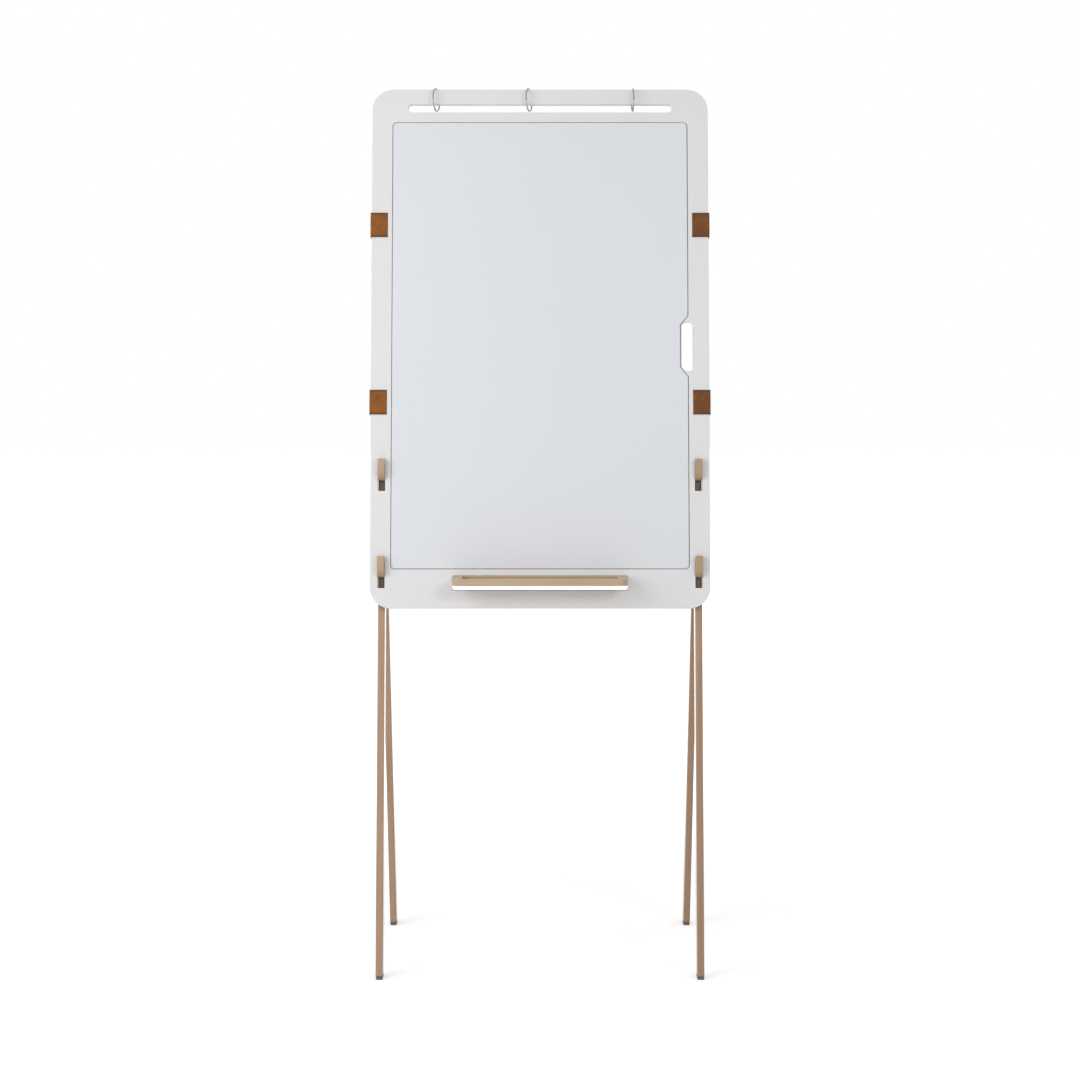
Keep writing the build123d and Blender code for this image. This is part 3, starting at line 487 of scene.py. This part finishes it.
# ---------------------------------------------------------------- screws
SCREW_GAP = 0.002               # two screws of one group are further apart than this along X
FLAT_TOP = 1e-5                 # how level a screw's flat top is
AROUND, TOP_STEPS, CONE_STEPS, THREAD_STEPS, POINT_STEPS = 40, 18, 4, 70, 6
LAND_SHARE = 0.05               # straight rim of the head, as a share of its radius
MIDDLE_SHARE = 0.04             # innermost ring of the flat top, as a share of the head's radius
POINT_SHARE = 1.6               # length of the point, as a share of the shank's radius
WALL_SHARE, RAMP_SHARE = 0.35, 0.6  # recess arm's sloping sides and ends, as shares of its size
FIRST_TURN, NEXT_TURN = 0.7, 2.4    # angles that the screws are driven to
STEEL_CREASE_ANGLE = math.radians(35)


def screws_of(node, facing):
    """Each screw of a packed group, told apart by gaps along X: its head's centre, head radius,
    shank radius and length, facing being the way its head looks."""
    points = points_of(node)
    points = points[np.argsort(points[:, 0])]
    groups = np.split(points, np.flatnonzero(np.diff(points[:, 0]) > SCREW_GAP) + 1)
    found = []
    for group in groups:
        depth = group @ facing
        top = group[depth > depth.max() - FLAT_TOP]
        centre = (top.min(0) + top.max(0)) / 2
        away = group - centre
        radial = np.linalg.norm(away - np.outer(away @ facing, facing), axis=1)
        length = depth.max() - depth.min()
        shank = radial[depth < depth.max() - length / 2].max()
        found.append((centre, radial.max(), shank, length))
    return found


def recess(across, along, settings, head):
    """Depth of a cross recess: each arm is deepest along its middle line and at the centre, and
    falls away to its sides and ends; the deeper of the two arms counts."""
    width, reach = settings.recess_width * head, settings.recess_reach * head

    def arm(a, b):
        wall = np.clip((width - np.abs(b)) / (WALL_SHARE * width), 0, 1)
        return wall * np.clip((reach - np.abs(a)) / (RAMP_SHARE * reach), 0, 1)

    return settings.recess_depth * head * np.maximum(arm(across, along), arm(along, across))


def screw_surface(head, shank, length, settings):
    """Countersunk screw pointing down -Z, as rings of one radius and height for each row and
    angle: flat top with a cross recess, land, cone, thread and point. The thread's radius is
    the shank's less depth x |saw|, saw = 2 (h / pitch - angle / turn mod 1) - 1."""
    angles = np.linspace(0, 2 * np.pi, AROUND, endpoint=False)
    land = LAND_SHARE * head
    top = np.linspace(MIDDLE_SHARE, 1.0, TOP_STEPS) * head
    cone = np.linspace(0, 1, CONE_STEPS)[1:]
    thread = np.linspace(head - shank + land, length - shank * POINT_SHARE, THREAD_STEPS)
    point = np.linspace(0, 1, POINT_STEPS)[1:-1]
    radius = np.concatenate([top, [head], head - (head - shank) * cone, np.full(len(thread), shank),
                             shank * (1 - point)])
    height = -np.concatenate([np.zeros(len(top)), [land], land + (head - shank) * cone, thread,
                              thread[-1] + (length - thread[-1]) * point])
    radius = np.repeat(radius[:, None], len(angles), axis=1)
    height = np.repeat(height[:, None], len(angles), axis=1)
    first = len(top) + 1 + len(cone)
    rows = slice(first, first + len(thread))
    turn = (height[rows] / settings.thread_pitch - angles[None, :] / (2 * np.pi)) % 1
    radius[rows] -= settings.thread_depth * np.abs(2 * turn - 1)
    x, y = radius * np.cos(angles), radius * np.sin(angles)
    dip = slice(0, len(top))
    height[dip] -= recess(x[dip], y[dip], settings, head)
    return np.stack([x, y, height], axis=-1)


def make_screws(node, facing, material, settings):
    """All screws of one packed group as one piece, each turned by its own angle."""
    facing = np.asarray(facing, float)
    side = unit(ACROSS - facing * (ACROSS @ facing))
    axes = np.stack([side, np.cross(facing, side), facing])
    vertices, faces, count = [], [], 0
    for index, (centre, head, shank, length) in enumerate(screws_of(node, facing)):
        rings = screw_surface(head, shank, length, settings)
        rows, columns = rings.shape[:2]
        turn = FIRST_TURN + NEXT_TURN * index
        spin = np.array([[math.cos(turn), math.sin(turn), 0], [-math.sin(turn), math.cos(turn), 0], [0, 0, 1]])
        poles = np.array([[0, 0, -settings.recess_depth * head], [0, 0, -length]])
        local = np.concatenate([rings.reshape(-1, 3), poles])
        vertices.append(local @ spin @ axes + centre)
        faces += ring_faces(rows, columns, count)[:, ::-1].tolist()
        ring = np.arange(columns)
        after = (ring + 1) % columns
        last = count + (rows - 1) * columns
        head_pole = count + rows * columns
        tip_pole = head_pole + 1
        faces += np.stack([count + ring, count + after, np.full(columns, head_pole)], axis=1).tolist()
        faces += np.stack([last + after, last + ring, np.full(columns, tip_pole)], axis=1).tolist()
        count += len(local)
    piece = new_piece(f"steel_{node}", np.concatenate(vertices), faces, material, STEEL_CREASE_ANGLE)
    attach(piece, BODY_OF[node])
    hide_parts(node)


# ---------------------------------------------------------------- settings
def colour(name, description, default):
    return FloatVectorProperty(name=name, description=description, subtype="COLOR", size=3, min=0.0, max=1.0,
                               default=default)


def length(name, description, default):
    return FloatProperty(name=name, description=description, unit="LENGTH", min=0.0, default=default)


def angle(name, description, degrees):
    return FloatProperty(name=name, description=description, subtype="ANGLE", default=math.radians(degrees))


def number(name, description, default, low=0.0, high=1000.0):
    return FloatProperty(name=name, description=description, min=low, max=high, default=default)


class EASEL_PG_frame_wood(bpy.types.PropertyGroup):
    light: colour("Pale beech", "Wood between the growth lines", (0.50, 0.318, 0.198))
    dark: colour("Dark beech", "Wood at the growth lines", (0.325, 0.19, 0.108))
    line_pitch: length("Growth line pitch", "Distance between growth lines", 0.0026)
    gloss: number("Roughness", "Roughness of the oiled surface", 0.42, 0.0, 1.0)
    coat: number("Oil", "Weight of the oil's glossy coat", 1.0, 0.0, 1.0)
    # painted shade: the right-hand legs darker, as they get less light
    shade_left: number("Left legs' depth", "How much darker than the other wood", 0.0, -1.0, 1.0)
    shade_right: number("Right legs' depth", "How much darker than the other wood", 0.36, -1.0, 1.0)


class EASEL_PG_trim_wood(bpy.types.PropertyGroup):
    light: colour("Pale beech", "Wood between the growth lines", (0.60, 0.455, 0.315))
    dark: colour("Dark beech", "Wood at the growth lines", (0.43, 0.30, 0.19))
    line_pitch: length("Growth line pitch", "Distance between growth lines", 0.0021)
    gloss: number("Roughness", "Roughness of the oiled surface", 0.5, 0.0, 1.0)
    coat: number("Oil", "Weight of the oil's glossy coat", 0.2, 0.0, 1.0)
    # painted shade: the right-hand hooks darker, as they get less light
    shade_left: number("Left hooks' depth", "How much darker than the tray", 0.0, -1.0, 1.0)
    shade_right: number("Right hooks' depth", "How much darker than the tray", 0.5, -1.0, 1.0)
    # painted shade: hooks darker towards their feet
    foot_shade: number("Foot shade", "How much darker the hooks' feet are than their heads", 0.65, 0.0, 2.0)


class EASEL_PG_panel(bpy.types.PropertyGroup):
    lacquer: colour("Lacquer", "Satin white of the panel", (0.775, 0.775, 0.78))
    enamel: colour("Enamel", "Cool white of the writing surface", (0.75, 0.77, 0.805))
    # painted shade along the writing surface's right and lower edges
    edge_shade: length("Edge shade", "Width of the painted shade along the writing surface's right and lower edges", 0.0011)
    hardboard: colour("Hardboard", "Backing board behind the steel sheet", (0.16, 0.085, 0.04))
    glide: colour("Glide rubber", "Feet under the legs", (0.155, 0.128, 0.108))


class EASEL_PG_strap(bpy.types.PropertyGroup):
    thickness: length("Thickness", "Thickness of the leather", 0.0022)
    bend: length("Bend", "Radius of the middle line at each fold", 0.0019)
    crease_inset: length("Crease inset", "Creased line in from the long edges", 0.0048)
    crease_depth: length("Crease depth", "Depth of the creased line", 0.0004)
    end_corner: length("End corner", "Rounding of the strap's ends", 0.006)
    # the dark edge is partly burnished and partly painted shade
    burnish_and_shade: length("Burnish", "How far in the dark edge reaches", 0.003)
    start_at: length("Start", "Inner end, down from the panel's back edge", 0.0095)
    lap_at: length("Lap", "Where the tail lies on its start", 0.0075)
    tail_to: length("Tail", "Outer end, down from the panel's back edge", 0.0384)
    light: colour("Tan", "Lighter patches of the grain side", (0.31, 0.105, 0.012))
    dark: colour("Brown", "Darker patches of the grain side", (0.15, 0.05, 0.007))
    # painted shade: straps on the right darker, on the left paler
    shade_left: number("Left straps' depth", "How much browner than the hide's mean", -0.12, -1.0, 1.0)
    shade_right: number("Right straps' depth", "How much browner than the hide's mean", 0.5, -1.0, 1.0)
    edge: colour("Burnished edge", "Cut edges and pores", (0.06, 0.027, 0.012))
    flesh: colour("Flesh side", "Unfinished inside", (0.38, 0.21, 0.10))


class EASEL_PG_metal(bpy.types.PropertyGroup):
    hinge: colour("Hinge steel", "Leaves and pins", (0.42, 0.42, 0.41))
    screw: colour("Screw steel", "Countersunk screws", (0.50, 0.50, 0.48))
    ring: colour("Ring steel", "Nickel-plated binder rings", (0.33, 0.33, 0.33))
    stud: colour("Stud brass", "Press studs", (0.62, 0.42, 0.16))
    recess_width: number("Recess arm", "Half width of a recess arm, as a share of the head", 0.13, 0.0, 1.0)
    recess_reach: number("Recess reach", "Reach of a recess arm, as a share of the head", 0.58, 0.0, 1.0)
    recess_depth: number("Recess depth", "Depth of the recess, as a share of the head", 0.38, 0.0, 1.0)
    thread_pitch: length("Thread pitch", "Rise of the thread per turn", 0.0013)
    thread_depth: length("Thread depth", "Depth of the thread", 0.00035)


class EASEL_PG_stage(bpy.types.PropertyGroup):
    floor: colour("Floor", "Colour of the floor", (0.78, 0.78, 0.78))
    near_lift: number("Floor lift, near", "Brightness added to the floor where the easel stands", 0.45,
                      0.0, 1.0)
    sky_front: number("Sky in front", "Strength of the light from in front of the easel", 0.42, 0.0, 2.0)
    sky_behind: number("Sky behind", "Strength of the light from behind the easel", 0.8, 0.0, 2.0)
    key: number("Left light", "Power of the large soft light on the left, in watts", 33.9)
    fill: number("Right light", "Power of the smaller light on the right, in watts", 12.8)
    camera_distance: length("Camera distance", "Camera in front of the easel's middle", 4.9246)
    camera_height: length("Camera height", "Camera above the floor", 1.2424)
    camera_pitch: angle("Camera pitch", "Camera looks down by this angle", 3.053)
    camera_lens: number("Focal length", "In millimetres on a 36 mm sensor", 77.67)
    camera_shift: number("Upward shift", "Share of the frame's height", -0.045, -1.0)


class EASEL_PG_easel(bpy.types.PropertyGroup):
    frame_wood: PointerProperty(type=EASEL_PG_frame_wood)
    trim_wood: PointerProperty(type=EASEL_PG_trim_wood)
    panel: PointerProperty(type=EASEL_PG_panel)
    strap: PointerProperty(type=EASEL_PG_strap)
    metal: PointerProperty(type=EASEL_PG_metal)
    stage: PointerProperty(type=EASEL_PG_stage)


# ---------------------------------------------------------------- operators
# Turns that bring a piece's grain onto local Z. The offsets given with them only choose which
# part of the grain a piece shows.
UPRIGHT_GRAIN = (LEAN, 0.0, 0.0)
CROSS_GRAIN = (0.0, -math.pi / 2, 0.0)
ARM_GRAIN = (math.pi / 2 + LEAN, 0.0, 0.0)


class EASEL_OT_finish_frame(bpy.types.Operator):
    """Gives legs, rails and dowels their oiled beech, with the grain along each piece"""
    bl_idname = "easel.finish_frame"
    bl_label = "Finish frame"

    def execute(self, context):
        tones = context.scene.easel.frame_wood
        apart = 0.11            # between the grain of the left and the right legs
        rear_run = run_of("rear_leg_right")
        rear_grain = (math.atan2(rear_run[1], rear_run[2]), 0.0, 0.0)
        for index, side in enumerate(SIDES):
            shift = apart * index
            # painted shade on the right-hand legs
            depth = tones.shade_left if side == "left" else tones.shade_right
            give(wood(f"Front leg beech {side}", tones, UPRIGHT_GRAIN, (0.02, 0.05 + shift, shift), depth),
                 f"front_leg_{side}")
            give(wood(f"Rear leg beech {side}", tones, rear_grain, (0.03, 0.09 + shift, 0.4 + shift), depth),
                 f"rear_leg_{side}")
        give(wood("Front rail beech", tones, CROSS_GRAIN, (0.05, 0.3, 0.0)), "front_top_rail",
             "front_hinge_rail", "tray_rail")
        give(wood("Rear rail beech", tones, CROSS_GRAIN, (0.11, 0.2, 0.6)), "rear_head_rail", "rear_lower_rail")
        give(wood("Dowel beech", tones, CROSS_GRAIN, (0.0, 0.1, 0.2)), "front_rail_dowels", "rear_rail_dowels",
             "hook_dowels")
        return {"FINISHED"}


class EASEL_OT_finish_trim(bpy.types.Operator):
    """Gives the hooks and the pen tray their paler beech"""
    bl_idname = "easel.finish_trim"
    bl_label = "Finish hooks and tray"

    def execute(self, context):
        tones = context.scene.easel.trim_wood
        apart, higher = 0.07, 0.05      # between the grain of the two sides, and of the two levels
        for level in LEVELS:
            for index, side in enumerate(SIDES):
                shift = apart * index + (higher if level == "upper" else 0.0)
                # painted shade on the right-hand hooks
                depth = tones.shade_left if side == "left" else tones.shade_right
                node = f"hook_{level}_{side}"
                # each hook is painted darker towards its foot
                foot, head = (corner[2] for corner in leaning_box(node))
                give(wood(f"Hook beech {level} {side}", tones, ARM_GRAIN, (0.04 + shift, 0.06, shift), depth,
                          (foot, head, tones.foot_shade)), node)
        give(wood("Tray beech", tones, CROSS_GRAIN, (0.07, 0.02, 0.0)), "pen_tray")
        return {"FINISHED"}


class EASEL_OT_finish_panel(bpy.types.Operator):
    """Gives the panel its lacquer, the writing surface its enamel and the backing its fibres"""
    bl_idname = "easel.finish_panel"
    bl_label = "Finish panel"

    def execute(self, context):
        tones = context.scene.easel.panel
        give(lacquer(tones), "panel_board")
        give(enamel(tones), "whiteboard_sheet")
        give(hardboard(tones), "whiteboard_backing")
        return {"FINISHED"}


class EASEL_OT_finish_glides(bpy.types.Operator):
    """Gives the feet their moulded rubber"""
    bl_idname = "easel.finish_glides"
    bl_label = "Finish glides"

    def execute(self, context):
        give(rubber(context.scene.easel.panel), *[f"{end}_glide_{side}" for end in ("front", "rear")
                                                  for side in SIDES])
        return {"FINISHED"}


class EASEL_OT_finish_metal(bpy.types.Operator):
    """Gives hinges, rings and press studs their metals"""
    bl_idname = "easel.finish_metal"
    bl_label = "Finish hinges, rings and studs"

    def execute(self, context):
        tones = context.scene.easel.metal
        give(steel("Hinge steel", tones.hinge, roughness=0.34, brushed=(40.0, 900.0, 900.0)), "hinge_pins",
             *[f"hinge_leaf_{end}_{side}" for end in ("front", "rear") for side in SIDES])
        give(steel("Ring nickel", tones.ring, roughness=0.2, brushed=(700.0, 300.0, 300.0)),
             *[f"ring_{part}_{place}" for part in ("lower", "upper", "rivet") for place in PLACES])
        give(steel("Stud brass", tones.stud, roughness=0.26, brushed=(500.0, 500.0, 500.0)), "stud_caps",
             "stud_sockets")
        return {"FINISHED"}


class EASEL_OT_add_straps(bpy.types.Operator):
    """Adds the four leather straps, each one strip that laps over its own start"""
    bl_idname = "easel.add_straps"
    bl_label = "Add leather straps"

    def execute(self, context):
        settings = context.scene.easel.strap
        material = leather(settings)
        for level in LEVELS:
            for side in SIDES:
                make_strap(side, level, material, settings)
        return {"FINISHED"}


class EASEL_OT_add_screws(bpy.types.Operator):
    """Adds the countersunk screws of hinges, tray and glides"""
    bl_idname = "easel.add_screws"
    bl_label = "Add screws"

    def execute(self, context):
        settings = context.scene.easel.metal
        material = steel("Screw steel", settings.screw, roughness=0.3, brushed=(600.0, 600.0, 600.0))
        down = (0.0, 0.0, -1.0)
        for node, facing in (("hinge_screws_front", BACKWARDS), ("hinge_screws_rear", -BACKWARDS),
                             ("tray_screws", down), ("front_glide_screws", down), ("rear_glide_screws", down)):
            make_screws(node, facing, material, settings)
        return {"FINISHED"}


class EASEL_OT_add_stage(bpy.types.Operator):
    """Adds the floor, the soft studio light and the camera"""
    bl_idname = "easel.add_stage"
    bl_label = "Add studio"

    def execute(self, context):
        settings = context.scene.easel.stage
        context.scene.view_settings.view_transform = "Standard"
        add_floor(settings)
        add_sky(context.scene, settings)
        add_soft_light("Left light", settings.key, place=(-1.9, -1.9, 1.75), aim=(0.0, -0.1, 1.35), size=2.0)
        add_soft_light("Right light", settings.fill, place=(1.3, -2.6, 1.95), aim=(0.0, -0.1, 1.0), size=0.6)
        add_camera(context.scene, settings)
        return {"FINISHED"}


# ---------------------------------------------------------------- stage
FLOOR_REACH = 30.0              # from the middle to each edge of the floor
NEAR_END, FAR_START = 0.7, 2.2  # distances between which the floor's lift rises to the full
SENSOR_WIDTH = 36.0
WHITE = (1.0, 1.0, 1.0, 1.0)


def seen_directly(tree):
    """1 for what the camera sees straight, in a mirror or through glass, else 0."""
    path = add_node(tree, "ShaderNodeLightPath").outputs
    either = add_node(tree, "ShaderNodeMath", {0: path["Is Camera Ray"], 1: path["Is Glossy Ray"]},
                      operation="MAXIMUM")
    return add_node(tree, "ShaderNodeMath", {0: either.outputs[0], 1: path["Is Transmission Ray"]},
                    operation="MAXIMUM").outputs[0]


def add_floor(settings):
    """Matt pale floor, lifted to white where it is seen, and more so further out, so that only the
    easel's soft shadow shows."""
    mesh = bpy.data.meshes.new("floor")
    corners = [(x * FLOOR_REACH, y * FLOOR_REACH, 0.0) for x, y in ((-1, -1), (1, -1), (1, 1), (-1, 1))]
    mesh.from_pydata(corners, [], [(0, 1, 2, 3)])
    floor = bpy.data.objects.new("floor", mesh)
    bpy.context.scene.collection.objects.link(floor)
    material = bpy.data.materials.new("Floor")
    material.use_nodes = True
    tree = material.node_tree
    tree.nodes.clear()
    place = add_node(tree, "ShaderNodeTexCoord").outputs["Object"]
    away = add_node(tree, "ShaderNodeVectorMath", {0: place}, operation="LENGTH").outputs["Value"]
    rise = add_node(tree, "ShaderNodeMapRange", {"Value": away, "From Min": NEAR_END, "From Max": FAR_START,
                                                 "To Min": settings.near_lift, "To Max": 1.0})
    lift = add_node(tree, "ShaderNodeMath", {0: seen_directly(tree), 1: rise.outputs[0]},
                    operation="MULTIPLY")
    matt = add_node(tree, "ShaderNodeBsdfDiffuse", {"Color": (*settings.floor, 1.0)})
    glow = add_node(tree, "ShaderNodeEmission", {"Strength": lift.outputs[0]})
    both = add_node(tree, "ShaderNodeAddShader", {0: matt.outputs[0], 1: glow.outputs[0]})
    add_node(tree, "ShaderNodeOutputMaterial", {"Surface": both.outputs[0]})
    mesh.materials.append(material)


def add_sky(scene, settings):
    """Light from all round, seen as white: its strength rises evenly with the direction's Y, from
    in front of the easel to behind it."""
    scene.world = bpy.data.worlds.new("Studio")
    scene.world.use_nodes = True
    tree = scene.world.node_tree
    towards = add_node(tree, "ShaderNodeTexCoord").outputs["Generated"]
    direction = add_node(tree, "ShaderNodeSeparateXYZ", {0: towards})
    shine = add_node(tree, "ShaderNodeMapRange", {
        "Value": direction.outputs["Y"], "From Min": -1.0, "From Max": 1.0, "To Min": settings.sky_front,
        "To Max": settings.sky_behind})
    strength = add_node(tree, "ShaderNodeMapRange", {
        "Value": seen_directly(tree), "To Min": shine.outputs[0], "To Max": 1.0})
    background = tree.nodes["Background"]
    background.inputs["Color"].default_value = WHITE
    tree.links.new(strength.outputs[0], background.inputs["Strength"])


def add_soft_light(name, power, place, aim, size):
    """Square softbox of this size and power in watts, facing the point aim."""
    light = bpy.data.lights.new(name, "AREA")
    light.energy = power
    light.size = size
    lamp = bpy.data.objects.new(name, light)
    lamp.location = place
    lamp.rotation_euler = (Vector(aim) - Vector(place)).to_track_quat("-Z", "Y").to_euler()
    bpy.context.scene.collection.objects.link(lamp)


def add_camera(scene, settings):
    camera = bpy.data.cameras.new("Camera")
    camera.lens = settings.camera_lens
    camera.sensor_width = SENSOR_WIDTH
    camera.shift_y = settings.camera_shift
    eye = bpy.data.objects.new("Camera", camera)
    eye.location = (0.0, -settings.camera_distance, settings.camera_height)
    eye.rotation_euler = (math.pi / 2 - settings.camera_pitch, 0.0, 0.0)
    scene.collection.objects.link(eye)
    scene.camera = eye


# ---------------------------------------------------------------- add-on
STEPS = (EASEL_OT_finish_frame, EASEL_OT_finish_trim, EASEL_OT_finish_panel, EASEL_OT_finish_glides,
         EASEL_OT_finish_metal, EASEL_OT_add_straps, EASEL_OT_add_screws, EASEL_OT_add_stage)


class EASEL_PT_sidebar(bpy.types.Panel):
    """Lists the easel's steps"""
    bl_idname = "EASEL_PT_sidebar"
    bl_label = "Whiteboard easel"
    bl_space_type = "VIEW_3D"
    bl_region_type = "UI"
    bl_category = "Easel"

    def draw(self, context):
        for step in STEPS:
            self.layout.operator(step.bl_idname)


CLASSES = (EASEL_PG_frame_wood, EASEL_PG_trim_wood, EASEL_PG_panel, EASEL_PG_strap, EASEL_PG_metal,
           EASEL_PG_stage, EASEL_PG_easel, *STEPS, EASEL_PT_sidebar)


def register():
    for kind in CLASSES:
        bpy.utils.register_class(kind)
    bpy.types.Scene.easel = PointerProperty(type=EASEL_PG_easel)


def unregister():
    del bpy.types.Scene.easel
    for kind in reversed(CLASSES):
        bpy.utils.unregister_class(kind)


def main():
    register()
    for step in STEPS:
        group, name = step.bl_idname.split(".")
        getattr(getattr(bpy.ops, group), name)()


if __name__ == "__main__":
    main()
